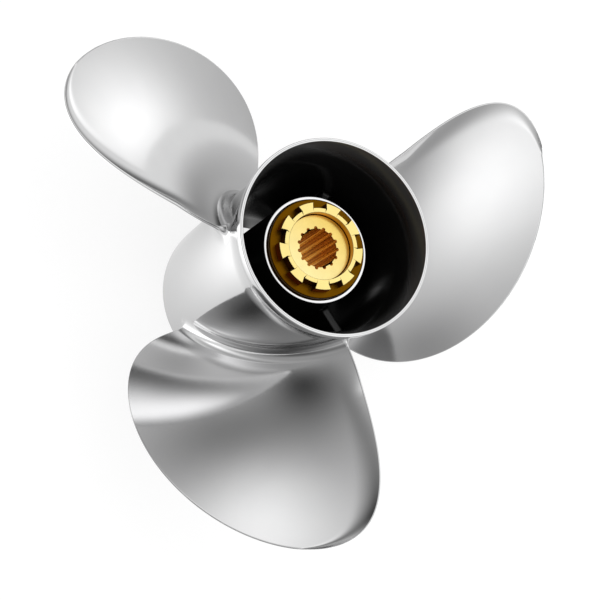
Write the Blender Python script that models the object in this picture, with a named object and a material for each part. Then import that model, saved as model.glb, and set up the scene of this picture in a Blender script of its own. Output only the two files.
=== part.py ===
"""Three-bladed, right-hand boat propeller with its exhaust passing through the hub.

It stands on the front end of its hub. The origin is on the shaft's axis at that end, +Z points aft
along the shaft, and blade 1 leans about +Y. All sizes are in metres, and angles are in degrees about +Z.
"""

import math

import bmesh
import bpy
from mathutils import Vector

GAP = 0.0003  # between pieces that touch

DIAMETER = 0.3429  # 13.5 inches over the blade tips
PITCH = 0.4125
BLADES = 3
TURN = 360 / BLADES

HUB_LENGTH = 0.1535
BARREL_FRONT_RADIUS = 0.0525
BARREL_SWELL = 0.0010  # how far the barrel bulges halfway along
BARREL_BORE = 0.0495
FRONT_BORE = 0.0460  # what the bore narrows to at the front end
FRONT_BORE_LENGTH = 0.012
FLARE_LENGTH = 0.028
FLARE_RADIUS = 0.0568  # outside, just under the lip
LIP_RADIUS = 0.0575
LIP_WALL = 0.0020
LIP_DEPTH = 0.0050
LIP_ROUNDING = 0.0005
FRONT_CHAMFER = 0.0005

INNER_HUB_RADIUS = 0.0317
INNER_HUB_WALL = 0.0020
INNER_HUB_FRONT = 0.010
INNER_HUB_AFT = HUB_LENGTH - 0.0304
INNER_HUB_ROUNDING = 0.0005

RIB_AFT = HUB_LENGTH - 0.0614
RIB_FRONT = 0.014
RIB_THICKNESS = 0.0052
RIB_ANGLE = 22.3
RIB_EDGE_RADIUS = 0.0012

BLADE_ROOT_RADIUS = 0.0496  # where the radial fraction of a blade is 0
BLADE_CENTRE = 0.0718  # height of a blade's reference line at its root
RAKE = (0.0393, -0.0053)
SKEW = (-21.3, 43.8, -7.6)
CHORD = (0.1125, 0.1548, -0.1051)
TIP_FULLNESS = 3.81
ROOT_THICKNESS = 0.0078
TIP_THICKNESS = 0.0026
EDGE_THICKNESS = 0.0016
CUP_HEIGHT = 0.0022
CUP_REACH = 0.014
FILLET = 0.008
SPAN = DIAMETER / 2 - BARREL_FRONT_RADIUS
FILLET_ROWS = 3
SPAN_ROWS = 14
CHORD_COLUMNS = 20
ROOT_STEPS = 6

SLEEVE_AFT = HUB_LENGTH - 0.0264
SLEEVE_FRONT = 0.008
SLEEVE_RADIUS = 0.0170
COLLAR_RADIUS = 0.0195
COLLAR_BASE = SLEEVE_AFT - 0.014
SPLINES = 15
SPLINE_ANGLE = 6.0
SPLINE_MINOR = 0.0115
SPLINE_MAJOR = 0.0129
GROOVE_RADIUS = 0.0011

RING_AFT = HUB_LENGTH - 0.0214
RING_BORE = COLLAR_RADIUS + GAP
RING_SKIRT_RADIUS = 0.0223
RING_SKIRT_LENGTH = 0.016
NOTCH_BOTTOM = 0.0225
TOOTH_RADIUS = 0.0258
TOOTH_THICKNESS = 0.0059
TEETH = 9
TOOTH_ANGLE = 29.0
NOTCH_HALF_WIDTH = 0.0041

SHELL_RADIUS = INNER_HUB_RADIUS - INNER_HUB_WALL - GAP
SHELL_BORE = 0.0262
SHELL_FRONT = INNER_HUB_FRONT + 0.002
BUSHING_FRONT = SHELL_FRONT + 0.002
SHELL_AFT = RING_AFT - TOOTH_THICKNESS - GAP  # the teeth sit on the shell's flat aft face
SHELL_CHAMFER = 0.0004
SHELL_SHOULDER_BORE = RING_SKIRT_RADIUS + GAP

FINE_STEPS = 72
COARSE_STEPS = 48


def clear_scene():
    for obj in list(bpy.data.objects):
        bpy.data.objects.remove(obj, do_unlink=True)


def make_material(name, colour, roughness, metallic):
    material = bpy.data.materials.new(name)
    material.use_nodes = True
    shader = material.node_tree.nodes["Principled BSDF"]
    shader.inputs["Base Color"].default_value = (*colour, 1.0)
    shader.inputs["Roughness"].default_value = roughness
    shader.inputs["Metallic"].default_value = metallic
    return material


def polar(radius, degrees, height):
    turn = math.radians(degrees)
    return Vector((radius * math.cos(turn), radius * math.sin(turn), height))


def ease(share):
    """0 to 1 with a level start and a level end."""
    share = min(max(share, 0.0), 1.0)
    return share * share * (3 - 2 * share)


def object_from_bmesh(name, build, material, sharp_degrees=35):
    bmesh.ops.recalc_face_normals(build, faces=build.faces)
    mesh = bpy.data.meshes.new(name)
    build.to_mesh(mesh)
    build.free()
    mesh.shade_smooth()
    mesh.set_sharp_from_angle(angle=math.radians(sharp_degrees))
    mesh.materials.append(material)
    obj = bpy.data.objects.new(name, mesh)
    bpy.context.collection.objects.link(obj)
    return obj


def object_from(name, points, faces, material):
    build = bmesh.new()
    vertices = [build.verts.new(point) for point in points]
    for face in faces:
        build.faces.new([vertices[index] for index in face])
    return object_from_bmesh(name, build, material)


def ring_of_rings(name, rings, material):
    """A closed solid with a hole through it: each loop of points is joined to the next, and the last to the first."""
    count = len(rings[0])
    points = [point for ring in rings for point in ring]
    faces = []
    for level in range(len(rings)):
        after = (level + 1) % len(rings)
        for step in range(count):
            follow = (step + 1) % count
            faces.append(
                (
                    level * count + step,
                    level * count + follow,
                    after * count + follow,
                    after * count + step,
                )
            )
    return object_from(name, points, faces, material)


def circle(radius, height, steps, start=0.0):
    return [polar(radius, start + 360 * step / steps, height) for step in range(steps)]


def turned(name, profile, steps, material):
    """A profile of (radius, height) points turned about the shaft's axis."""
    return ring_of_rings(name, [circle(radius, height, steps) for radius, height in profile], material)


def barrel_outside(height):
    """The barrel's outer radius: a slight swell, then the flare towards the lip."""
    flare_start = HUB_LENGTH - FLARE_LENGTH
    swell = BARREL_SWELL * math.sin(math.pi * min(max(height / flare_start, 0), 1))
    flare = ((height - flare_start) / (FLARE_LENGTH - LIP_DEPTH)) if height > flare_start else 0.0
    return BARREL_FRONT_RADIUS + swell + (FLARE_RADIUS - BARREL_FRONT_RADIUS) * min(flare, 1) ** 1.6


def barrel_inside(height):
    flare_start = HUB_LENGTH - FLARE_LENGTH
    flare = (height - flare_start) / FLARE_LENGTH if height > flare_start else 0.0
    return BARREL_BORE + (LIP_RADIUS - LIP_WALL - BARREL_BORE) * flare**1.6


def add_barrel(steel):
    lip_base = HUB_LENGTH - LIP_DEPTH
    outside_heights = [lip_base * step / 12 for step in range(1, 13)]
    inside_heights = [HUB_LENGTH - FLARE_LENGTH * step / 4 for step in range(1, 5)]
    profile = [(BARREL_FRONT_RADIUS - FRONT_CHAMFER, 0.0), (BARREL_FRONT_RADIUS, FRONT_CHAMFER)]
    profile += [(barrel_outside(height), height) for height in outside_heights]
    profile += [
        (LIP_RADIUS, lip_base + LIP_ROUNDING),
        (LIP_RADIUS, HUB_LENGTH - LIP_ROUNDING),
        (LIP_RADIUS - LIP_ROUNDING, HUB_LENGTH),
        (LIP_RADIUS - LIP_WALL, HUB_LENGTH),
    ]
    profile += [(barrel_inside(height), height) for height in inside_heights]
    profile += [
        (BARREL_BORE, FRONT_BORE_LENGTH),
        (FRONT_BORE, FRONT_CHAMFER),
        (FRONT_BORE + FRONT_CHAMFER, 0.0),
    ]
    return turned("hub_barrel", profile, FINE_STEPS, steel)


def add_inner_hub(steel):
    bore = INNER_HUB_RADIUS - INNER_HUB_WALL
    profile = [
        (INNER_HUB_RADIUS, INNER_HUB_FRONT),
        (INNER_HUB_RADIUS, INNER_HUB_AFT - INNER_HUB_ROUNDING),
        (INNER_HUB_RADIUS - INNER_HUB_ROUNDING, INNER_HUB_AFT),
        (bore + INNER_HUB_ROUNDING, INNER_HUB_AFT),
        (bore, INNER_HUB_AFT - INNER_HUB_ROUNDING),
        (bore, INNER_HUB_FRONT),
    ]
    return turned("inner_hub", profile, FINE_STEPS, steel)


def rounded_rectangle(half_width, low, high, corner):
    """An outline of (across, up) points with rounded corners, anticlockwise from the lower right."""
    corners = (
        (half_width - corner, low + corner),
        (half_width - corner, high - corner),
        (corner - half_width, high - corner),
        (corner - half_width, low + corner),
    )
    outline = []
    for quarter, (across, up) in enumerate(corners):
        for step in range(4):
            turn = math.radians(90 * quarter - 90 + 30 * step)
            outline.append((across + corner * math.cos(turn), up + corner * math.sin(turn)))
    return outline


def add_rib(number, steel):
    """A radial web between the inner hub and the barrel, with rounded front and aft edges."""
    angle = RIB_ANGLE + TURN * (number - 1)
    outward = polar(1, angle, 0)
    sideways = polar(1, angle + 90, 0)
    outline = rounded_rectangle(RIB_THICKNESS / 2, RIB_FRONT, RIB_AFT, RIB_EDGE_RADIUS)
    count = len(outline)
    points = []
    for radius in (INNER_HUB_RADIUS + GAP, BARREL_BORE - 2 * GAP):
        points += [outward * radius + sideways * across + Vector((0, 0, up)) for across, up in outline]
    faces = [tuple(range(count)), tuple(range(count, 2 * count))]
    faces += [
        (step, (step + 1) % count, count + (step + 1) % count, count + step) for step in range(count)
    ]
    return object_from(f"rib_{number}", points, faces, steel)


def blade_chord(fraction):
    start, slope, curve = CHORD
    width = start + slope * fraction + curve * fraction**2
    return width * math.sqrt(max(1 - min(fraction, 0.9995) ** TIP_FULLNESS, 0))


def blade_point(radius, along, offset):
    """A point of blade 1. along runs from 0 on the leading edge to 1 on the trailing edge, and offset is the
    distance from the helical pressure face, positive aft."""
    fraction = (radius - BLADE_ROOT_RADIUS) / (DIAMETER / 2 - BLADE_ROOT_RADIUS)
    slope = math.atan(PITCH / (2 * math.pi * radius))
    chord = blade_chord(fraction)
    skew = SKEW[0] * fraction + SKEW[1] * fraction**2 + SKEW[2] * fraction**3
    turned_by = skew + math.degrees((along - 0.5) * chord * math.cos(slope) / radius)
    height = BLADE_CENTRE + RAKE[0] * fraction + RAKE[1] * fraction**2 + PITCH * turned_by / 360
    from_trailing = (1 - along) * chord
    offset += CUP_HEIGHT * max(1 - from_trailing / CUP_REACH, 0) ** 2 * ease(fraction / 0.3)
    angle = 90 + turned_by
    return polar(radius, angle, height + offset * math.cos(slope)) - polar(offset * math.sin(slope), angle + 90, 0)


def blade_surface(share, along, offset):
    """A point of blade 1 by its share of the way from the barrel, 0, to the tip's circle, 1."""
    seat = BARREL_FRONT_RADIUS
    for _ in range(6):
        seat = GAP + barrel_outside(blade_point(seat, along, offset).z)
    return blade_point(seat + (DIAMETER / 2 - seat) * share, along, offset)


def blade_section(share):
    """One section of a blade as columns of (along, aft, forward): where the column stands on the chord, and how
    far its two faces lie from the helical pressure face. They meet at both edges. The root's fillet widens the
    section all round, so along runs a little past 0 and 1 there."""
    lift = SPAN * share
    growth = 0.0
    if lift < FILLET:
        growth = FILLET - math.sqrt(FILLET**2 - (FILLET - lift) ** 2)
    radius = BARREL_FRONT_RADIUS + lift
    chord = blade_chord((radius - BLADE_ROOT_RADIUS) / (DIAMETER / 2 - BLADE_ROOT_RADIUS))
    width = chord + 2 * growth
    edge_radius = EDGE_THICKNESS / 2 + growth
    thickest = TIP_THICKNESS + (ROOT_THICKNESS - TIP_THICKNESS) * (1 - share) ** 1.2
    columns = []
    for step in range(CHORD_COLUMNS + 1):
        from_leading = width * (1 - math.cos(math.pi * step / CHORD_COLUMNS)) / 2
        inward = min(from_leading, width - from_leading, edge_radius)
        lost = edge_radius - math.sqrt(edge_radius**2 - (edge_radius - inward) ** 2)
        along = (from_leading - growth) / chord
        inside = min(max(along, 0.0), 1.0)
        body = EDGE_THICKNESS + (thickest - EDGE_THICKNESS) * (4 * inside * (1 - inside)) ** 0.8
        columns.append((along, growth - lost, lost - body - growth))
    return columns


def blade_shares():
    """Rows close together in the root fillet and again near the tip."""
    above = FILLET / SPAN
    shares = [above * (1 - math.cos(math.pi / 2 * step / FILLET_ROWS)) for step in range(FILLET_ROWS)]
    return shares + [
        above + (1 - above) * math.sin(math.pi / 2 * step / SPAN_ROWS) for step in range(SPAN_ROWS + 1)
    ]


def add_blade(number, steel):
    build = bmesh.new()

    def line_of(share, across, beside=None):
        """A line along a section, on its aft face, 0, its forward face, 1, or between them. It shares the two end
        points of the line beside it."""
        columns = blade_section(share)
        points = [blade_surface(share, along, aft + (forward - aft) * across) for along, aft, forward in columns]
        if beside is None:
            return [build.verts.new(point) for point in points]
        return [beside[0]] + [build.verts.new(point) for point in points[1:-1]] + [beside[-1]]

    def join(line, after):
        """Faces between two lines: triangles at an end point that they share."""
        for step in range(CHORD_COLUMNS):
            corners = (line[step], line[step + 1], after[step + 1], after[step])
            build.faces.new(list(dict.fromkeys(corners)))

    rows = []
    for share in blade_shares():
        aft = line_of(share, 0)
        rows.append((aft, line_of(share, 1, aft)))
    for (aft, forward), (next_aft, next_forward) in zip(rows, rows[1:]):
        join(aft, next_aft)
        join(forward, next_forward)
    root_aft, root_forward = rows[0]
    between = [line_of(0.0, step / ROOT_STEPS, root_aft) for step in range(1, ROOT_STEPS)]
    lines = [root_aft] + between + [root_forward]
    for line, after in zip(lines, lines[1:]):
        join(line, after)
    join(*rows[-1])
    blade = object_from_bmesh(f"blade_{number}", build, steel, sharp_degrees=50)
    blade.rotation_euler.z = math.radians(TURN * (number - 1))
    return blade


def add_insert_shell(brass):
    profile = [
        (SHELL_RADIUS, SHELL_FRONT),
        (SHELL_RADIUS, SHELL_AFT - SHELL_CHAMFER),
        (SHELL_RADIUS - SHELL_CHAMFER, SHELL_AFT),
        (SHELL_SHOULDER_BORE, SHELL_AFT),
        (SHELL_SHOULDER_BORE, COLLAR_BASE),
        (SHELL_BORE, COLLAR_BASE),
        (SHELL_BORE, SHELL_FRONT),
    ]
    return turned("insert_shell", profile, COARSE_STEPS, brass)


def add_rubber_bushing(rubber):
    profile = [
        (SHELL_BORE - GAP, BUSHING_FRONT),
        (SHELL_BORE - GAP, COLLAR_BASE - GAP),
        (SLEEVE_RADIUS + GAP, COLLAR_BASE - GAP),
        (SLEEVE_RADIUS + GAP, BUSHING_FRONT),
    ]
    return turned("rubber_bushing", profile, COARSE_STEPS, rubber)


def spline_outline(height):
    """The splined bore: fifteen round-bottomed grooves between flat-topped ribs."""
    points = []
    groove_half = math.degrees(GROOVE_RADIUS / SPLINE_MINOR)
    for groove in range(SPLINES):
        middle = SPLINE_ANGLE + 360 / SPLINES * groove
        points.append(polar(SPLINE_MINOR, middle - 360 / SPLINES / 2, height))
        points.append(polar(SPLINE_MINOR, middle - groove_half, height))
        for step in range(5):
            turn = math.radians(-90 + 45 * step)
            depth = SPLINE_MAJOR - GROOVE_RADIUS + GROOVE_RADIUS * math.cos(turn)
            aside = math.degrees(GROOVE_RADIUS * math.sin(turn) / depth)
            points.append(polar(depth, middle + aside, height))
        points.append(polar(SPLINE_MINOR, middle + groove_half, height))
    return points


def add_spline_sleeve(brass):
    def round_loop(radius, height):
        """A circle with a point outside each point of the splined bore."""
        directions = [point.xy.normalized() for point in spline_outline(0.0)]
        return [Vector((radius * way.x, radius * way.y, height)) for way in directions]

    rings = [
        round_loop(SLEEVE_RADIUS, SLEEVE_FRONT),
        round_loop(SLEEVE_RADIUS, COLLAR_BASE),
        round_loop(COLLAR_RADIUS, COLLAR_BASE),
        round_loop(COLLAR_RADIUS, SLEEVE_AFT),
        spline_outline(SLEEVE_AFT),
        spline_outline(SLEEVE_FRONT),
    ]
    return ring_of_rings("spline_sleeve", rings, brass)


def tooth_outline(height):
    """Nine teeth with parallel-sided notches between them."""
    points = []
    pitch = 360 / TEETH
    tooth_half = pitch / 2 - math.degrees(math.asin(NOTCH_HALF_WIDTH / TOOTH_RADIUS))
    notch_half = math.degrees(math.asin(NOTCH_HALF_WIDTH / NOTCH_BOTTOM))
    for tooth in range(TEETH):
        middle = TOOTH_ANGLE + pitch * tooth
        for share in (-1, -0.5, 0, 0.5, 1):
            points.append(polar(TOOTH_RADIUS, middle + tooth_half * share, height))
        for share in (-1, -0.5, 0, 0.5, 1):
            points.append(polar(NOTCH_BOTTOM, middle + pitch / 2 + notch_half * share, height))
    return points


def add_castellated_ring(brass):
    tooth_base = RING_AFT - TOOTH_THICKNESS
    skirt_base = RING_AFT - RING_SKIRT_LENGTH
    steps = len(tooth_outline(0.0))
    start = TOOTH_ANGLE - 2 * 360 / steps
    rings = [
        tooth_outline(RING_AFT),
        tooth_outline(tooth_base),
        circle(RING_SKIRT_RADIUS, tooth_base, steps, start),
        circle(RING_SKIRT_RADIUS, skirt_base, steps, start),
        circle(RING_BORE, skirt_base, steps, start),
        circle(RING_BORE, RING_AFT, steps, start),
    ]
    return ring_of_rings("castellated_ring", rings, brass)


def main():
    clear_scene()
    steel = make_material("polished_steel", (0.72, 0.72, 0.72), 0.18, 1.0)
    brass = make_material("brass", (0.83, 0.62, 0.22), 0.28, 1.0)
    rubber = make_material("rubber", (0.02, 0.02, 0.02), 0.6, 0.0)
    add_barrel(steel)
    add_inner_hub(steel)
    for number in range(1, BLADES + 1):
        add_rib(number, steel)
        add_blade(number, steel)
    add_insert_shell(brass)
    add_rubber_bushing(rubber)
    add_castellated_ring(brass)
    add_spline_sleeve(brass)


main()
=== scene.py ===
"""The looks of the boat propeller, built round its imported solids. Metres, with +Z aft along the shaft."""

import math

import bmesh
import bpy
import numpy as np
from mathutils import Matrix, Vector


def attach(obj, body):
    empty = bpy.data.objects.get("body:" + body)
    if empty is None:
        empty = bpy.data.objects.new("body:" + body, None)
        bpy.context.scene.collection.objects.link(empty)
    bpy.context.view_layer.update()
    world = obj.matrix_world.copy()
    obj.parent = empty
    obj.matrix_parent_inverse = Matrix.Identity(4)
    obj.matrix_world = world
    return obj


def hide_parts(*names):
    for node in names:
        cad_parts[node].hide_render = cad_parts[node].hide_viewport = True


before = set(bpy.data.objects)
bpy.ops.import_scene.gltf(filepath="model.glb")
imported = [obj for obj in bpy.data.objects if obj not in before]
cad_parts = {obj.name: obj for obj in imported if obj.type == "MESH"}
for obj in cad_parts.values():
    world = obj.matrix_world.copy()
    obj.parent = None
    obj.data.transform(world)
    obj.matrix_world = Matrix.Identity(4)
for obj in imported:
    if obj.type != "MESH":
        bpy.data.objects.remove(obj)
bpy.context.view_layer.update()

# The propeller's driving dimensions, as in the part's source.
GAP = 0.0003
DIAMETER = 0.3429
TIP_RADIUS = DIAMETER / 2
PITCH = 0.4125
BLADES = 3
TURN = 360 / BLADES
HUB_LENGTH = 0.1535
BARREL_FRONT_RADIUS = 0.0525
BARREL_SWELL = 0.0010
BARREL_BORE = 0.0495
FRONT_BORE = 0.0460
FRONT_BORE_LENGTH = 0.012
FLARE_LENGTH = 0.028
FLARE_RADIUS = 0.0568
FLARE_POWER = 1.6
LIP_RADIUS = 0.0575
LIP_WALL = 0.0020
LIP_DEPTH = 0.0050
FRONT_CHAMFER = 0.0005
INNER_HUB_RADIUS = 0.0317
INNER_HUB_WALL = 0.0020
INNER_HUB_FRONT = 0.010
INNER_HUB_AFT = HUB_LENGTH - 0.0304
RIB_AFT = HUB_LENGTH - 0.0614
RIB_FRONT = 0.014
RIB_THICKNESS = 0.0052
RIB_ANGLE = 22.3
RIB_EDGE_RADIUS = 0.0012
BLADE_ROOT_RADIUS = 0.0496
BLADE_CENTRE = 0.0718
RAKE = (0.0393, -0.0053)
SKEW = (-21.3, 43.8, -7.6)
CHORD = (0.1125, 0.1548, -0.1051)
TIP_FULLNESS = 3.81
ROOT_THICKNESS = 0.0078
TIP_THICKNESS = 0.0026
EDGE_THICKNESS = 0.0016
CUP_HEIGHT = 0.0022
CUP_REACH = 0.014
FILLET = 0.008
SLEEVE_AFT = HUB_LENGTH - 0.0264
SLEEVE_FRONT = 0.008
SLEEVE_RADIUS = 0.0170
COLLAR_RADIUS = 0.0195
COLLAR_BASE = SLEEVE_AFT - 0.014
SPLINES = 15
SPLINE_ANGLE = 6.0
SPLINE_MINOR = 0.0115
SPLINE_MAJOR = 0.0129
GROOVE_RADIUS = 0.0011
RING_AFT = HUB_LENGTH - 0.0214
RING_BORE = COLLAR_RADIUS + GAP
RING_SKIRT_RADIUS = 0.0223
RING_SKIRT_LENGTH = 0.016
NOTCH_BOTTOM = 0.0225
TOOTH_RADIUS = 0.0258
TOOTH_THICKNESS = 0.0059
TEETH = 9
TOOTH_ANGLE = 29.0
NOTCH_HALF_WIDTH = 0.0041
SHELL_RADIUS = INNER_HUB_RADIUS - INNER_HUB_WALL - GAP
SHELL_BORE = 0.0262
SHELL_FRONT = INNER_HUB_FRONT + 0.002
SHELL_AFT = RING_AFT - TOOTH_THICKNESS - GAP
SHELL_SHOULDER_BORE = RING_SKIRT_RADIUS + GAP

# Where the finer pieces go beyond the source: the blade's rounded rim, the taper of its thickness towards the
# tip, how far out the cup is full, and the chamfers, corners and fillets.
RIM_BAND = 0.004
TIP_TAPER = 0.012
CUP_FULL_AT = 0.3
ROOT_OVERLAP = 0.0015
LIP_CORNER = 0.0003
LIP_SHOULDER = 0.0004
SCRIBED_WIDTH = 0.0001
SCRIBED_DEPTH = 0.00005
TUBE_CORNER = 0.0004
SHELL_CORNER = 0.0008
RIB_FILLET = 0.0022
BRASS_CHAMFER = 0.0002

# The azimuth towards which the sleeve's aft face turns darker and more orange: a painted shade and reflection
# of the ring's bore wall.
WALL_REFLECTION_AZIMUTH = 10

# The photograph's view.
CAMERA_AZIMUTH = 169.6
CAMERA_ELEVATION = 64.096
CAMERA_ROLL = 59.967
CAMERA_POSITION = Vector((-0.4432, 0.0604, 0.9924))
CAMERA_LENS = 102.12


def polar(radius, degrees, height):
    turn = math.radians(degrees)
    return Vector((radius * math.cos(turn), radius * math.sin(turn), height))


def finish_mesh(name, build, materials, sharp_degrees=30):
    """A smooth-shaded object from a bmesh, with its edges past this angle left sharp."""
    bmesh.ops.recalc_face_normals(build, faces=build.faces)
    mesh = bpy.data.meshes.new(name)
    build.to_mesh(mesh)
    build.free()
    mesh.shade_smooth()
    mesh.set_sharp_from_angle(angle=math.radians(sharp_degrees))
    for material in materials:
        mesh.materials.append(material)
    obj = bpy.data.objects.new(name, mesh)
    bpy.context.collection.objects.link(obj)
    return obj


def barrel_outside(height):
    """The barrel's outer radius: a slight swell, then the flare towards the lip."""
    height = np.asarray(height, float)
    flare_start = HUB_LENGTH - FLARE_LENGTH
    swell = BARREL_SWELL * np.sin(np.pi * np.clip(height / flare_start, 0, 1))
    flare = np.clip((height - flare_start) / (FLARE_LENGTH - LIP_DEPTH), 0, 1)
    return BARREL_FRONT_RADIUS + swell + (FLARE_RADIUS - BARREL_FRONT_RADIUS) * flare**FLARE_POWER


def blade_chord(fraction):
    start, slope, curve = CHORD
    width = start + slope * fraction + curve * fraction**2
    return width * np.sqrt(np.maximum(1 - fraction**TIP_FULLNESS, 0))


def blade_skew(fraction):
    return SKEW[0] * fraction + SKEW[1] * fraction**2 + SKEW[2] * fraction**3


def blade_place(radius, across, offset):
    """Points of blade 1 at these radii. across is measured along the helix towards the trailing edge, from
    the middle of the chord, and offset at right angles to it, positive aft."""
    fraction = (radius - BLADE_ROOT_RADIUS) / (TIP_RADIUS - BLADE_ROOT_RADIUS)
    slope = np.arctan(PITCH / (2 * np.pi * radius))
    skew = blade_skew(fraction)
    turned = (across * np.cos(slope) - offset * np.sin(slope)) / radius
    angle = np.radians(90 + skew) + turned
    height = BLADE_CENTRE + RAKE[0] * fraction + RAKE[1] * fraction**2 + PITCH * skew / 360
    height = height + across * np.sin(slope) + offset * np.cos(slope)
    return np.stack([radius * np.cos(angle), radius * np.sin(angle), height], -1)


def row_shares():
    """Shares of the way from the barrel to the tip, close together in the fillet and at the tip's rim."""
    span = TIP_RADIUS - BARREL_FRONT_RADIUS
    fillet = [FILLET * (1 - math.cos(math.pi / 2 * (step / 18) ** 1.5)) for step in range(18)]
    reach = span - FILLET - RIM_BAND
    middle = [FILLET + reach * math.sin(math.pi / 2 * step / 70) for step in range(70)]
    rim = [span - RIM_BAND * (1 - math.sin(math.pi / 2 * step / 14)) for step in range(15)]
    return np.array(fillet + middle + rim) / span


def section(share, outline):
    """One blade section from the leading to the trailing edge: the places across it, and the offsets of its
    aft and front faces there."""
    span = TIP_RADIUS - BARREL_FRONT_RADIUS
    lift = span * share
    growth = 0.0
    if lift < FILLET:
        growth = FILLET - math.sqrt(max(FILLET**2 - (FILLET - lift) ** 2, 0))
    radius = BARREL_FRONT_RADIUS + lift
    fraction = min((radius - BLADE_ROOT_RADIUS) / (TIP_RADIUS - BLADE_ROOT_RADIUS), 1.0)
    half = float(blade_chord(fraction)) / 2 + growth
    edge = min(EDGE_THICKNESS / 2 + growth, half * 0.5)
    rounding = edge * (1 - np.cos(np.linspace(0, np.pi / 2, 9)))
    inner = half - edge
    middle = -inner * np.cos(np.linspace(0, np.pi, 62))[1:-1]
    across = np.concatenate([-half + rounding, middle, (half - rounding)[::-1]])
    chord = 2 * (half - growth)
    along = np.clip((across + chord / 2) / max(chord, 1e-6), 0, 1)
    skewed = across + np.radians(blade_skew(fraction)) * radius
    here = np.stack([skewed, np.full_like(across, radius)], -1)
    to_rim = np.min(np.hypot(*(here[:, None] - outline[None]).transpose(2, 0, 1)), axis=1)
    to_end = half - np.abs(across)
    inward = to_end if growth > 0 else np.minimum(to_end, to_rim)
    edge_radius = EDGE_THICKNESS / 2 + growth
    rounded = np.sqrt(np.maximum(edge_radius**2 - np.maximum(edge_radius - inward, 0) ** 2, 0))
    thickest = TIP_THICKNESS + (ROOT_THICKNESS - TIP_THICKNESS) * (1 - share) ** 1.2
    tip_taper = 1 - math.exp(-(TIP_RADIUS - radius) / TIP_TAPER)
    body = EDGE_THICKNESS + (thickest - EDGE_THICKNESS) * (4 * along * (1 - along)) ** 0.8 * tip_taper
    from_trailing = (1 - along) * chord
    cup_fade = min(max(fraction / CUP_FULL_AT, 0), 1) ** 2
    cup = CUP_HEIGHT * np.maximum(1 - from_trailing / CUP_REACH, 0) ** 2 * cup_fade
    aft = cup + growth - (edge_radius - rounded)
    front = cup - body - growth + (edge_radius - rounded)
    return across, aft, front


def blade_outline():
    """The blade's edge in the developed plane, as dense points. They tell how far inside it a point lies."""
    fraction = 1 - (1 - np.linspace(0, 1, 500)) ** 2
    radius = BLADE_ROOT_RADIUS + (TIP_RADIUS - BLADE_ROOT_RADIUS) * fraction
    middle = np.radians(blade_skew(fraction)) * radius
    half = blade_chord(fraction) / 2
    edges = [np.stack([middle + side * half, radius], -1) for side in (-1, 1)]
    return np.concatenate([edges[0], edges[1][::-1]])


def place_row(share, across, offset):
    """Seats a row on the barrel, point by point: share 0 lies on its surface, and share 1 at the tip."""
    seat = np.full_like(across, BARREL_FRONT_RADIUS)
    for _ in range(8):
        seat = barrel_outside(blade_place(seat, across, offset)[:, 2])
    return blade_place(seat + (TIP_RADIUS - seat) * share, across, offset)


def add_blade(number, steel):
    outline = blade_outline()
    build = bmesh.new()
    rows = []
    for share in row_shares()[:-1]:
        across, aft, front = section(float(share), outline)
        aft_points = place_row(share, across, aft)
        front_points = place_row(share, across, front)
        loop = [build.verts.new(point) for point in aft_points]
        loop += [build.verts.new(point) for point in front_points[-2:0:-1]]
        rows.append(loop)
    across, aft, front = section(0.0, outline)
    inside_wall = np.full_like(across, BARREL_BORE + ROOT_OVERLAP)
    skirt = [build.verts.new(point) for point in blade_place(inside_wall, across, aft)]
    skirt += [build.verts.new(point) for point in blade_place(inside_wall, across, front)[-2:0:-1]]
    rows.insert(0, skirt)
    count = len(skirt)
    for low, high in zip(rows, rows[1:]):
        for step in range(count):
            follow = (step + 1) % count
            build.faces.new((low[step], low[follow], high[follow], high[step]))
    half = count // 2
    for loop in (rows[0], rows[-1]):
        for step in range(half - 1):
            quad = [loop[step], loop[step + 1], loop[count - 1 - step], loop[(count - step) % count]]
            if step == 0:
                quad = [loop[0], loop[1], loop[count - 1]]
            build.faces.new(quad)
        build.faces.new((loop[half - 1], loop[half], loop[half + 1]))
    blade = finish_mesh(f"blade_{number}_polished", build, [steel], sharp_degrees=40)
    blade.data.transform(Matrix.Rotation(math.radians(TURN * (number - 1)), 4, "Z"))
    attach(blade, "root")
    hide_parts(f"blade_{number}")


def turned(name, profile, steps, materials, second=None):
    """A closed profile of (radius, height) points turned about the shaft's axis. second is the range of
    the profile's edges that takes the second material."""
    build = bmesh.new()
    rings = []
    for radius, height in profile:
        rings.append([build.verts.new(point) for point in circle(radius, height, steps)])
    for level, (ring, after) in enumerate(zip(rings, rings[1:] + rings[:1])):
        for step in range(steps):
            follow = (step + 1) % steps
            face = build.faces.new((ring[step], ring[follow], after[follow], after[step]))
            if second and second[0] <= level < second[1]:
                face.material_index = 1
    return finish_mesh(name, build, materials)


def circle(radius, height, steps, start=0.0):
    return [polar(radius, start + 360 * step / steps, height) for step in range(steps)]


def arc(centre, radius, first, last, steps):
    """Points of a profile on an arc, from one angle to another."""
    points = []
    for step in range(steps + 1):
        turn = math.radians(first + (last - first) * step / steps)
        points.append((centre[0] + radius * math.cos(turn), centre[1] + radius * math.sin(turn)))
    return points


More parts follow.
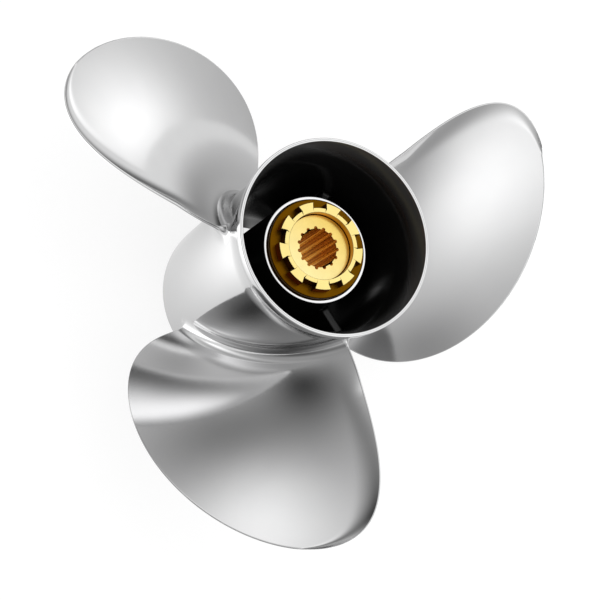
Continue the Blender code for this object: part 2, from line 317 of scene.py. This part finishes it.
def add_barrel(steel, dark):
    lip_base = HUB_LENGTH - LIP_DEPTH
    flare_start = HUB_LENGTH - FLARE_LENGTH
    profile = arc((BARREL_FRONT_RADIUS - FRONT_CHAMFER, FRONT_CHAMFER), FRONT_CHAMFER, -90, 0, 4)
    profile += [(float(barrel_outside(h)), h) for h in np.linspace(0.001, lip_base, 90)]
    profile += arc((LIP_RADIUS - LIP_CORNER, lip_base + LIP_CORNER), LIP_CORNER, -90, 0, 4)
    profile += arc((LIP_RADIUS - LIP_SHOULDER, HUB_LENGTH - LIP_SHOULDER), LIP_SHOULDER, 0, 90, 5)
    scribed = LIP_RADIUS - LIP_WALL / 2
    profile.append((scribed + SCRIBED_WIDTH, HUB_LENGTH))
    profile.append((scribed, HUB_LENGTH - SCRIBED_DEPTH))
    profile.append((scribed - SCRIBED_WIDTH, HUB_LENGTH))
    inside_radius = LIP_RADIUS - LIP_WALL
    profile += arc((inside_radius + LIP_CORNER, HUB_LENGTH - LIP_CORNER), LIP_CORNER, 90, 180, 4)
    outside = len(profile)
    for height in np.linspace(HUB_LENGTH - 0.001, flare_start, 24):
        flare = (height - flare_start) / FLARE_LENGTH
        profile.append((BARREL_BORE + (inside_radius - BARREL_BORE) * flare**FLARE_POWER, height))
    profile += [(BARREL_BORE, FRONT_BORE_LENGTH), (FRONT_BORE, FRONT_CHAMFER)]
    profile.append((FRONT_BORE + FRONT_CHAMFER, 0.0))
    inside = (outside - 1, len(profile) - 1)
    barrel = turned("barrel_polished", profile, 240, [steel, dark], second=inside)
    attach(barrel, "root")
    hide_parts("hub_barrel")


def add_inner_hub(steel, dark):
    bore = INNER_HUB_RADIUS - INNER_HUB_WALL
    edge = TUBE_CORNER
    below_rim = INNER_HUB_AFT - 3 * edge
    profile = [(INNER_HUB_RADIUS, INNER_HUB_FRONT)]
    profile += [(INNER_HUB_RADIUS, h) for h in np.linspace(RIB_FRONT, below_rim, 12)]
    outside = len(profile) - 1
    profile += arc((INNER_HUB_RADIUS - edge, INNER_HUB_AFT - edge), edge, 0, 90, 5)
    profile += arc((bore + edge, INNER_HUB_AFT - edge), edge, 90, 180, 5)
    rim = len(profile) - 1
    profile += [(bore, below_rim), (bore, INNER_HUB_FRONT)]
    hub = turned("inner_hub_cast", profile, 240, [dark, steel], second=(outside, rim))
    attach(hub, "root")
    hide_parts("inner_hub")


def rounded_rectangle(half_width, low, high, corner):
    """An outline of (across, up) points with rounded corners, anticlockwise from the lower right."""
    corners = (
        (half_width - corner, low + corner),
        (half_width - corner, high - corner),
        (corner - half_width, high - corner),
        (corner - half_width, low + corner),
    )
    outline = []
    for quarter, centre in enumerate(corners):
        outline += arc(centre, corner, 90 * quarter - 90, 90 * quarter, 8)
    return outline


def add_rib(number, dark):
    """A radial web that flares into the inner hub and the barrel, as the casting does."""
    angle = RIB_ANGLE + TURN * (number - 1)
    outward = polar(1, angle, 0)
    sideways = polar(1, angle + 90, 0)
    fillet = RIB_FILLET
    build = bmesh.new()
    loops = []
    first, last = INNER_HUB_RADIUS, BARREL_BORE
    rounding = [fillet * (1 - math.cos(math.pi / 2 * step / 8)) for step in range(9)]
    stations = [first - 0.0012] + [first + d for d in rounding] + [last - d for d in rounding[::-1]]
    for radius in stations + [last + 0.0008]:
        near = max(min(radius - first, last - radius), 0)
        growth = fillet - math.sqrt(max(fillet**2 - (fillet - near) ** 2, 0)) if near < fillet else 0
        outline = rounded_rectangle(
            RIB_THICKNESS / 2 + growth, RIB_FRONT - growth, RIB_AFT + growth, RIB_EDGE_RADIUS + growth / 2
        )
        loops.append(
            [build.verts.new(outward * radius + sideways * a + Vector((0, 0, up))) for a, up in outline]
        )
    for loop, after in zip(loops, loops[1:]):
        for step in range(len(loop)):
            follow = (step + 1) % len(loop)
            build.faces.new((loop[step], loop[follow], after[follow], after[step]))
    build.faces.new(loops[0])
    build.faces.new(loops[-1])
    rib = finish_mesh(f"rib_{number}_cast", build, [dark], sharp_degrees=60)
    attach(rib, "root")
    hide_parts(f"rib_{number}")


def looped(name, rings, materials):
    """A closed solid with a hole through it: each loop of points is joined to the next, and the last to
    the first."""
    build = bmesh.new()
    loops = [[build.verts.new(point) for point in ring] for ring in rings]
    for loop, after in zip(loops, loops[1:] + loops[:1]):
        for step in range(len(loop)):
            follow = (step + 1) % len(loop)
            build.faces.new((loop[step], loop[follow], after[follow], after[step]))
    return finish_mesh(name, build, materials, sharp_degrees=25)


def tooth_outline(height, inset=0.0):
    """Nine teeth with parallel-sided notches between them, drawn in by the inset."""
    points = []
    pitch = 360 / TEETH
    top, bottom, notch = TOOTH_RADIUS - inset, NOTCH_BOTTOM - inset, NOTCH_HALF_WIDTH + inset
    tooth_half = pitch / 2 - math.degrees(math.asin(notch / top))
    notch_half = math.degrees(math.asin(notch / bottom))
    for tooth in range(TEETH):
        middle = TOOTH_ANGLE + pitch * tooth
        for share in np.linspace(-1, 1, 9):
            points.append(polar(top, middle + tooth_half * share, height))
        for share in np.linspace(-1, 1, 9):
            points.append(polar(bottom, middle + pitch / 2 + notch_half * share, height))
    return points


def add_castellated_ring(face, wall, edge, notch, bore):
    """The ring's brass is split by which way each face turns, as lit and shaded copies of one brass: the aft
    face takes the lit colour, the outer walls of its teeth, the chamfers and the notches darker copies as
    painted shade, and the bore an orange copy as a painted reflection."""
    tooth_base = RING_AFT - TOOTH_THICKNESS
    skirt_base = RING_AFT - RING_SKIRT_LENGTH
    steps = len(tooth_outline(0.0))
    start = TOOTH_ANGLE - 4 * 360 / steps
    rings = [
        tooth_outline(RING_AFT, BRASS_CHAMFER),
        tooth_outline(RING_AFT - BRASS_CHAMFER),
        tooth_outline(tooth_base),
        circle(RING_SKIRT_RADIUS, tooth_base, steps, start),
        circle(RING_SKIRT_RADIUS, skirt_base, steps, start),
        circle(RING_BORE, skirt_base, steps, start),
        circle(RING_BORE, RING_AFT - BRASS_CHAMFER, steps, start),
        circle(RING_BORE + BRASS_CHAMFER, RING_AFT, steps, start),
    ]
    ring = looped("castellated_ring_brass", rings, [face, wall, edge, notch, bore])
    # Faces turned aft take the lit brass and the others shaded copies: painted light and shade.
    level, sloping = 0.95, 0.3
    for polygon in ring.data.polygons:
        distance = polygon.center.xy.length
        if polygon.normal.z > level:
            polygon.material_index = 0
        elif polygon.normal.z > sloping:
            polygon.material_index = 2
        elif distance > TOOTH_RADIUS - 2 * BRASS_CHAMFER:
            polygon.material_index = 1
        elif distance > (RING_BORE + NOTCH_BOTTOM) / 2:
            polygon.material_index = 3
        else:
            polygon.material_index = 4
    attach(ring, "root")
    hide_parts("castellated_ring")


def spline_outline(height):
    """The splined bore: fifteen round-bottomed grooves between flat-topped ribs."""
    points = []
    groove_half = math.degrees(GROOVE_RADIUS / SPLINE_MINOR)
    half_pitch = 360 / SPLINES / 2
    land_half = half_pitch - groove_half
    for groove in range(SPLINES):
        middle = SPLINE_ANGLE + 2 * half_pitch * groove
        for share in (0, 0.33, 0.67, 1):
            points.append(polar(SPLINE_MINOR, middle - half_pitch + land_half * share, height))
        for turn in np.radians(np.linspace(-90, 90, 11)):
            depth = SPLINE_MAJOR - GROOVE_RADIUS + GROOVE_RADIUS * math.cos(turn)
            aside = math.degrees(GROOVE_RADIUS * math.sin(turn) / depth)
            points.append(polar(depth, middle + aside, height))
        for share in (0, 0.33, 0.67):
            points.append(polar(SPLINE_MINOR, middle + groove_half + land_half * share, height))
    return points


def add_spline_sleeve(face, land, groove):
    ways = [point.xy.normalized() for point in spline_outline(0.0)]

    def round_loop(radius, height):
        return [Vector((radius * way.x, radius * way.y, height)) for way in ways]

    rings = [
        round_loop(SLEEVE_RADIUS, SLEEVE_FRONT),
        round_loop(SLEEVE_RADIUS, COLLAR_BASE),
        round_loop(COLLAR_RADIUS, COLLAR_BASE),
        round_loop(COLLAR_RADIUS, SLEEVE_AFT - BRASS_CHAMFER),
        round_loop(COLLAR_RADIUS - BRASS_CHAMFER, SLEEVE_AFT),
        spline_outline(SLEEVE_AFT),
        spline_outline(SLEEVE_FRONT),
    ]
    sleeve = looped("spline_sleeve_brass", rings, [face, land, groove])
    # The lands take a darker copy of the brass and the grooves a brighter one: painted shade and painted
    # highlight in the bore.
    inside_wall = (SPLINE_MAJOR + SLEEVE_RADIUS) / 2
    for polygon in sleeve.data.polygons:
        distance = polygon.center.xy.length
        if abs(polygon.normal.z) < 0.5 and distance < inside_wall:
            polygon.material_index = 1 if distance < SPLINE_MINOR + 0.0003 else 2
    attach(sleeve, "root")
    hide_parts("spline_sleeve")


def add_insert_shell(brass):
    profile = [(SHELL_RADIUS, SHELL_FRONT)]
    profile += [(SHELL_RADIUS, h) for h in np.linspace(SHELL_FRONT + 0.002, SHELL_AFT - 0.001, 8)]
    profile += arc((SHELL_RADIUS - SHELL_CORNER, SHELL_AFT - SHELL_CORNER), SHELL_CORNER, 0, 90, 6)
    profile += [(SHELL_SHOULDER_BORE, SHELL_AFT), (SHELL_SHOULDER_BORE, COLLAR_BASE)]
    profile += [(SHELL_BORE, COLLAR_BASE), (SHELL_BORE, SHELL_FRONT)]
    shell = turned("insert_shell_brass", profile, 180, [brass])
    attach(shell, "root")
    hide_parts("insert_shell")


def node(tree, kind, settings=None, inputs=None):
    """Adds a shader node. inputs holds, by name or number, a value or a (node, output) pair to link."""
    made = tree.nodes.new(kind)
    for name, value in (settings or {}).items():
        setattr(made, name, value)
    for name, value in (inputs or {}).items():
        if isinstance(value, tuple) and isinstance(value[0], bpy.types.Node):
            tree.links.new(value[0].outputs[value[1]], made.inputs[name])
        else:
            made.inputs[name].default_value = value
    return made


def math_node(tree, operation, *values):
    return node(tree, "ShaderNodeMath", {"operation": operation}, dict(enumerate(values)))


def surface(name, colour, roughness, metallic):
    """A material and its shader."""
    material = bpy.data.materials.new(name)
    material.use_nodes = True
    shader = material.node_tree.nodes["Principled BSDF"]
    shader.inputs["Base Color"].default_value = (*colour, 1.0)
    shader.inputs["Roughness"].default_value = roughness
    shader.inputs["Metallic"].default_value = metallic
    return material, material.node_tree, shader


def noise(tree, place, scale, detail=3.0, stretch=(1, 1, 1)):
    spread = node(tree, "ShaderNodeMapping", None, {"Vector": place, "Scale": stretch})
    return node(tree, "ShaderNodeTexNoise", None, {"Vector": (spread, 0), "Scale": scale, "Detail": detail})


def ranged(tree, value, low, high):
    return node(tree, "ShaderNodeMapRange", None, {"Value": value, "To Min": low, "To Max": high})


def rising(tree, value, first, last):
    """0 up to the value first and 1 from the value last, with a soft start and end."""
    limits = {"Value": value, "From Min": first, "From Max": last}
    return node(tree, "ShaderNodeMapRange", {"interpolation_type": "SMOOTHSTEP"}, limits)


def mixed(tree, factor, low, high):
    """A passage from the colour low to the colour high, each four values or a (node, output) pair."""
    made = node(tree, "ShaderNodeMix", {"data_type": "RGBA"}, {"Factor": factor, 6: low, 7: high})
    return made, 2


def bump(tree, height, strength, distance, before=None):
    inputs = {"Height": height, "Strength": strength, "Distance": distance}
    if before:
        inputs["Normal"] = (before, 0)
    return node(tree, "ShaderNodeBump", None, inputs)


def polished_steel():
    """Bright polished stainless steel: slow waves left by hand polishing, and fine wheel marks."""
    material, tree, shader = surface("polished_steel", (0.56, 0.56, 0.56), 0.1, 1.0)
    place = (node(tree, "ShaderNodeTexCoord"), "Object")
    tone = noise(tree, place, 60, 4)
    colour, output = mixed(tree, (tone, 0), (0.545, 0.545, 0.550, 1), (0.575, 0.575, 0.575, 1))
    tree.links.new(colour.outputs[output], shader.inputs["Base Color"])
    marks = noise(tree, place, 900, 3, (1, 0.15, 1))
    dull = ranged(tree, (marks, 0), 0.07, 0.13)
    tree.links.new(dull.outputs[0], shader.inputs["Roughness"])
    waves = noise(tree, place, 28, 1)
    lift = bump(tree, (waves, 0), 0.25, 0.0003)
    fine = bump(tree, (marks, 0), 0.03, 0.00002, lift)
    tree.links.new(fine.outputs[0], shader.inputs["Normal"])
    return material


def dark_coating(name, roughness, lit_band=None):
    """The black coating inside the hub. Over the band of heights that the last argument gives, it passes to a
    lighter grey: a painted light near the rim."""
    material, tree, shader = surface(name, (0.007, 0.007, 0.007), roughness, 0.0)
    place = (node(tree, "ShaderNodeTexCoord"), "Object")
    grain = noise(tree, place, 1400, 3)
    patches = noise(tree, place, 45, 4)
    colour = mixed(tree, (patches, 0), (0.004, 0.004, 0.004, 1), (0.010, 0.010, 0.010, 1))
    if lit_band:
        # Lighter grey towards the rim: painted light where light falls in over the lip.
        height = node(tree, "ShaderNodeSeparateXYZ", None, {0: place})
        painted_rim_light = rising(tree, (height, 2), lit_band[0], lit_band[1])
        colour = mixed(tree, (painted_rim_light, 0), colour, (0.045, 0.045, 0.045, 1))
    tree.links.new(colour[0].outputs[colour[1]], shader.inputs["Base Color"])
    dull = ranged(tree, (patches, 0), roughness * 0.8, roughness * 1.2)
    tree.links.new(dull.outputs[0], shader.inputs["Roughness"])
    rough = bump(tree, (grain, 0), 0.25, 0.00008)
    tree.links.new(rough.outputs[0], shader.inputs["Normal"])
    return material


def brass_metal(name, colour, roughness, wall_reflection_colour=None, spread=0.08):
    """Machined brass with fine turning marks. Its brightness wanders by the share spread either way, and
    its colour passes to a second colour towards one side: a painted shade and reflection."""
    material, tree, shader = surface(name, colour, roughness, 1.0)
    place = (node(tree, "ShaderNodeTexCoord"), "Object")
    way = polar(1, WALL_REFLECTION_AZIMUTH, 0)
    along = node(tree, "ShaderNodeVectorMath", {"operation": "DOT_PRODUCT"}, {0: place, 1: way})
    limits = {"Value": (along, 1), "From Min": -COLLAR_RADIUS, "From Max": COLLAR_RADIUS}
    side = node(tree, "ShaderNodeMapRange", None, limits)
    # Towards one side the colour passes to the second one: a painted shade and reflection of the ring's bore
    # wall.
    painted_reflection_blend = mixed(tree, (side, 0), (*colour, 1), (*(wall_reflection_colour or colour), 1))
    tone = noise(tree, place, 180, 4)
    level = ranged(tree, (tone, 0), 1 - spread, 1 + spread)
    shade = node(tree, "ShaderNodeVectorMath", {"operation": "SCALE"}, {0: painted_reflection_blend, "Scale": (level, 0)})
    tree.links.new(shade.outputs[0], shader.inputs["Base Color"])
    settings = {"wave_type": "RINGS", "rings_direction": "Z"}
    marks = {"Vector": place, "Scale": 900.0, "Distortion": 2.0}
    turning = node(tree, "ShaderNodeTexWave", settings, marks)
    dull = ranged(tree, (turning, 1), roughness * 0.8, roughness * 1.2)
    tree.links.new(dull.outputs[0], shader.inputs["Roughness"])
    cut = bump(tree, (turning, 1), 0.08, 0.00002)
    tree.links.new(cut.outputs[0], shader.inputs["Normal"])
    return material


def black_rubber():
    material, tree, shader = surface("black_rubber", (0.02, 0.02, 0.02), 0.6, 0.0)
    place = (node(tree, "ShaderNodeTexCoord"), "Object")
    grain = noise(tree, place, 700, 4)
    dull = ranged(tree, (grain, 0), 0.5, 0.75)
    tree.links.new(dull.outputs[0], shader.inputs["Roughness"])
    rough = bump(tree, (grain, 0), 0.3, 0.0001)
    tree.links.new(rough.outputs[0], shader.inputs["Normal"])
    return material


def add_camera():
    elevation = math.radians(CAMERA_ELEVATION)
    back = polar(math.cos(elevation), CAMERA_AZIMUTH, math.sin(elevation))
    level = Vector((0, 0, 1)).cross(back).normalized()
    turn = Matrix((level, back.cross(level), back)).transposed().to_4x4()
    camera = bpy.data.objects.new("camera", bpy.data.cameras.new("camera"))
    camera.data.lens = CAMERA_LENS
    camera.matrix_world = (
        Matrix.Translation(CAMERA_POSITION) @ turn @ Matrix.Rotation(math.radians(CAMERA_ROLL), 4, "Z")
    )
    bpy.context.collection.objects.link(camera)
    bpy.context.scene.camera = camera


# The studio: soft panels and dark cards round the object, as (azimuth, elevation, spread, change in
# brightness).
STUDIO_LEVEL = 0.90
STUDIO = (
    (265, 45, 13, 1.00),
    (68, 46, 8, 1.05),
    (346, 61, 15, 0.90),
    (357, 6, 8, 1.00),
    (112, -5, 10, 1.90),
    (101, 16, 9, -0.20),
    (250, 62, 8, -0.30),
    (101, 23, 16, -0.65),
    (134, 18, 15, -0.30),
    (176, 4, 19, -0.75),
    (64, 34, 12, -0.65),
    (198, 51, 11, -0.45),
    (49, 3, 9, -0.35),
    (21, 4, 8, -0.25),
    (294, 18, 22, -0.45),
)
# Light pools on the floor as the steel mirrors them: (x, y, spread, change in brightness).
FLOOR_LEVEL = 1.14
FLOOR_POOLS = (
    (-0.125, 0.16, 0.10, 2.30),
    (-0.20, -0.45, 0.39, -0.85),
    (0.15, 0.28, 0.28, -0.90),
    (0.20, 0.17, 0.10, -0.28),
    (0.37, -0.10, 0.15, -0.15),
)
BACKDROP = 1.0
# The floor under the hub is in shadow: the radii where the shadow's edge starts and ends. Some light comes
# down through the splined bore, and some in under the hub's front edge: (x, y, spread, brightness).
HUB_SHADOW = (0.046, 0.050)
HUB_LEAKS = ((0.0, 0.0, 0.016, 1.40), (0.0356, 0.0278, 0.0045, 1.8), (0.0385, 0.0225, 0.0045, 1.6))


def add_studio():
    """A world of soft panels, which the camera itself sees as an even pale backdrop."""
    world = bpy.data.worlds.new("studio")
    bpy.context.scene.world = world
    world.use_nodes = True
    tree = world.node_tree
    place = (node(tree, "ShaderNodeTexCoord"), "Generated")
    total = STUDIO_LEVEL
    for azimuth, elevation, spread, change in STUDIO:
        way = polar(math.cos(math.radians(elevation)), azimuth, math.sin(math.radians(elevation)))
        near = node(tree, "ShaderNodeVectorMath", {"operation": "DOT_PRODUCT"}, {0: place, 1: tuple(way)})
        sharpness = 1 / math.radians(spread) ** 2
        fall = math_node(tree, "MULTIPLY_ADD", (near, 1), sharpness, -sharpness)
        glow = math_node(tree, "EXPONENT", (fall, 0))
        total = (math_node(tree, "MULTIPLY_ADD", (glow, 0), change, total), 0)
    lit = math_node(tree, "MAXIMUM", total, 0.02)
    seen = node(tree, "ShaderNodeLightPath")
    level = node(tree, "ShaderNodeMix", None, {"Factor": (seen, 0), "A": (lit, 0), "B": BACKDROP})
    background = tree.nodes["Background"]
    tree.links.new(level.outputs[0], background.inputs["Color"])


def floor_pools(tree, place, total, pools):
    """Adds round pools of light, or of shade, to the brightness total."""
    for x, y, spread, change in pools:
        away = node(tree, "ShaderNodeVectorMath", {"operation": "DISTANCE"}, {0: place, 1: (x, y, 0)})
        square = math_node(tree, "POWER", (away, 1), 2.0)
        fall = math_node(tree, "MULTIPLY", (square, 0), -1 / spread**2)
        glow = math_node(tree, "EXPONENT", (fall, 0))
        total = (math_node(tree, "MULTIPLY_ADD", (glow, 0), change, total), 0)
    return total


def add_floor():
    build = bmesh.new()
    bmesh.ops.create_grid(build, x_segments=1, y_segments=1, size=4.0)
    mesh = bpy.data.meshes.new("floor")
    build.to_mesh(mesh)
    build.free()
    floor = bpy.data.objects.new("floor", mesh)
    material = bpy.data.materials.new("floor_paper")
    material.use_nodes = True
    tree = material.node_tree
    tree.nodes.remove(tree.nodes["Principled BSDF"])
    place = (node(tree, "ShaderNodeTexCoord"), "Object")
    middle = node(tree, "ShaderNodeVectorMath", {"operation": "DISTANCE"}, {0: place, 1: (0, 0, 0)})
    open_floor = rising(tree, (middle, 1), HUB_SHADOW[0], HUB_SHADOW[1])
    around = floor_pools(tree, place, FLOOR_LEVEL, FLOOR_POOLS)
    shaded = math_node(tree, "MULTIPLY", around, (open_floor, 0))
    lit = floor_pools(tree, place, (shaded, 0), HUB_LEAKS)
    mirrored = node(tree, "ShaderNodeEmission", None, {"Strength": lit})
    paper = node(tree, "ShaderNodeBsdfDiffuse", None, {"Color": (0.28, 0.28, 0.28, 1)})
    white = node(tree, "ShaderNodeEmission", None, {"Color": (0.80, 0.80, 0.80, 1)})
    sheet = node(tree, "ShaderNodeAddShader", None, {0: (paper, 0), 1: (white, 0)})
    seen = node(tree, "ShaderNodeLightPath")
    mix = node(tree, "ShaderNodeMixShader", None, {0: (seen, 0), 1: (mirrored, 0), 2: (sheet, 0)})
    tree.links.new(mix.outputs[0], tree.nodes["Material Output"].inputs["Surface"])
    mesh.materials.append(material)
    bpy.context.collection.objects.link(floor)


def main():
    bpy.context.scene.view_settings.view_transform = "Standard"
    add_camera()
    add_studio()
    add_floor()
    steel = polished_steel()
    dark = dark_coating("dark_coating", 0.4)
    # The barrel's inner coating, lighter grey near the lip as painted light.
    barrel_dark = dark_coating("barrel_coating", 0.15, (HUB_LENGTH - 0.016, HUB_LENGTH - 0.002))
    # Lit and shaded copies of one brass, given to faces by which way they turn: painted light, shade and
    # reflection.
    lit_face_brass = brass_metal("lit_face_brass", (0.66, 0.53, 0.20), 0.25)
    shaded_wall_brass = brass_metal("shaded_wall_brass", (0.45, 0.10, 0.02), 0.5)
    shaded_edge_brass = brass_metal("shaded_edge_brass", (0.33, 0.27, 0.10), 0.2)
    # The orange brass of the ring's bore: a painted reflection.
    ring_brass = brass_metal("ring_brass", (0.75, 0.38, 0.05), 0.2)
    shaded_land_brass = brass_metal("shaded_land_brass", (0.45, 0.22, 0.05), 0.15)
    highlit_groove_brass = brass_metal("highlit_groove_brass", (0.92, 0.70, 0.34), 0.08)
    # A dark brown brass for the shell, and on the ring's notch walls a painted shade.
    dark_brown_brass = brass_metal("dark_brown_brass", (0.125, 0.052, 0.001), 0.4)
    add_barrel(steel, barrel_dark)
    add_inner_hub(steel, dark)
    for number in range(1, BLADES + 1):
        add_blade(number, steel)
        add_rib(number, dark)
    add_insert_shell(dark_brown_brass)
    add_castellated_ring(lit_face_brass, shaded_wall_brass, shaded_edge_brass, dark_brown_brass, ring_brass)
    # The sleeve's face turns darker and more orange towards one side: a painted shade and reflection of the
    # ring's bore wall.
    sleeve_brass = brass_metal("sleeve_brass", (0.66, 0.57, 0.27), 0.25, (0.59, 0.42, 0.10))
    add_spline_sleeve(sleeve_brass, shaded_land_brass, highlit_groove_brass)
    bpy.data.objects["rubber_bushing"].material_slots[0].material = black_rubber()


main()
